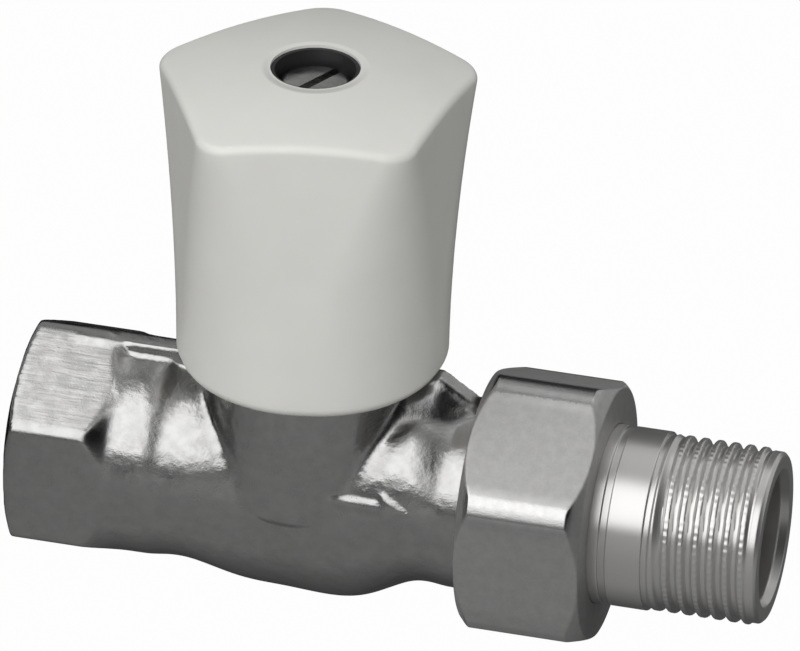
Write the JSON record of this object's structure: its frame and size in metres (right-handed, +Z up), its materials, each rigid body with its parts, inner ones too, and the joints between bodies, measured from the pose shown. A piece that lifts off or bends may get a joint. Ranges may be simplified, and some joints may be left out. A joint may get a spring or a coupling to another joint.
{
  "type": "radiator valve",
  "caption": "Straight radiator valve: forged body with a hexagon inlet, rising spindle and seat under a cap-shaped handwheel, and a union nut with a threaded tailpiece.",
  "frame": {"origin": "centre of the inlet's end face, on the pipe axis", "axes": "+X along the pipe axis to the tailpiece, +Z up along the spindle, +Y completes the right hand"},
  "size_m": [0.0906, 0.0368, 0.071],
  "materials": {
    "forged_nickel": "nickel-plated forged brass",
    "turned_nickel": "nickel-plated turned brass",
    "white_plastic": "moulded, low gloss",
    "bare_brass": "turned",
    "zinc_steel": "zinc-plated",
    "black_plastic": "moulded, matt",
    "black_rubber": "moulded"
  },
  "bodies": {
    "valve_body": {"valve_body": "forged_nickel", "bonnet": "bare_brass", "bonnet_seal": "black_rubber", "gland_nut": "bare_brass", "lower_spindle_seal": "black_rubber", "gland_spacer": "bare_brass", "upper_spindle_seal": "black_rubber"},
    "disc": {"disc_holder": "bare_brass", "seat_washer": "black_rubber", "washer_plate": "bare_brass", "washer_screw": "zinc_steel", "disc_retaining_ring": "zinc_steel"},
    "spindle": {"spindle": "bare_brass", "handwheel": "white_plastic", "handwheel_insert": "bare_brass", "recess_liner": "black_plastic", "handwheel_screw": "zinc_steel", "screw_washer": "zinc_steel"},
    "tail": {"tailpiece": "turned_nickel", "tail_seal": "black_rubber"},
    "union_nut": {"union_nut": "turned_nickel"}
  },
  "joints": [
    {"name": "disc_lift", "type": "slide", "parent": "valve_body", "child": "disc", "axis": [0, 0, 1], "range_m": [0, 0.00375]},
    {"name": "handwheel_turn", "type": "hinge", "parent": "disc", "child": "spindle", "pos_m": [0.0343, 0, 0.03], "axis": [0, 0, 1], "range_deg": [0, 900]},
    {"name": "tailpiece_pull", "type": "slide", "parent": "valve_body", "child": "tail", "axis": [1, 0, 0], "range_m": [0, 0.00907]},
    {"name": "union_nut_turn", "type": "hinge", "parent": "tail", "child": "union_nut", "pos_m": [0.063, 0, 0], "axis": [1, 0, 0], "range_deg": [0, 1800]}
  ],
  "couplings": [
    {"joint": "disc_lift", "follows": "handwheel_turn", "m_per_rad": 0.0002387},
    {"joint": "tailpiece_pull", "follows": "union_nut_turn", "m_per_rad": 0.00028875}
  ]
}
